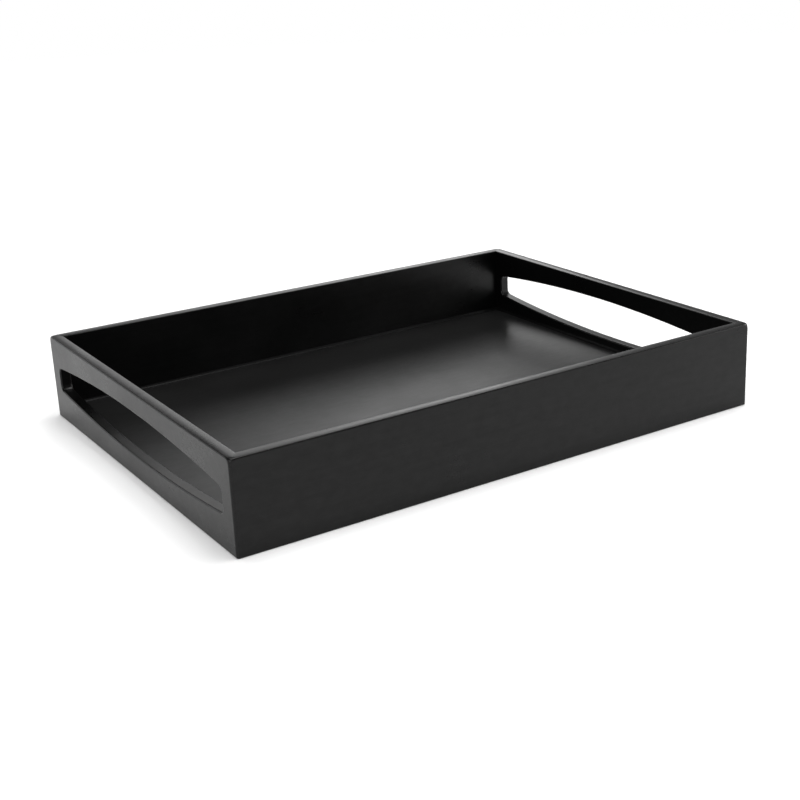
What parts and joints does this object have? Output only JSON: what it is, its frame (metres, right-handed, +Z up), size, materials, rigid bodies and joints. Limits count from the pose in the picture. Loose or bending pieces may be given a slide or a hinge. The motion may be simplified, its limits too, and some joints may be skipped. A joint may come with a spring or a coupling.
{
  "type": "serving tray",
  "caption": "Rectangular wooden serving tray with mitred side boards, a flat let-in base and a long lens-shaped hand hole in each short side.",
  "frame": {"origin": "centre of the footprint, on the surface that the tray stands on", "axes": "+X along the long sides towards the right handle board, +Y from the front board to the back board, +Z up"},
  "size_m": [0.4, 0.3, 0.061],
  "materials": {
    "lacquered_boards": "satin black lacquer over wood, no open grain",
    "lacquered_base": "satin black lacquer over a smooth panel and over the bead of filler round its edge",
    "spline_plywood": "bare birch plywood, glued in"
  },
  "bodies": {
    "root": {"front_board": "lacquered_boards", "back_board": "lacquered_boards", "left_handle_board": "lacquered_boards", "right_handle_board": "lacquered_boards", "base_panel": "lacquered_base", "floor_bead_front": "lacquered_base", "floor_bead_back": "lacquered_base", "floor_bead_left": "lacquered_base", "floor_bead_right": "lacquered_base", "mitre_spline_front_left": "spline_plywood", "mitre_spline_front_right": "spline_plywood", "mitre_spline_back_left": "spline_plywood", "mitre_spline_back_right": "spline_plywood"}
  },
  "joints": []
}
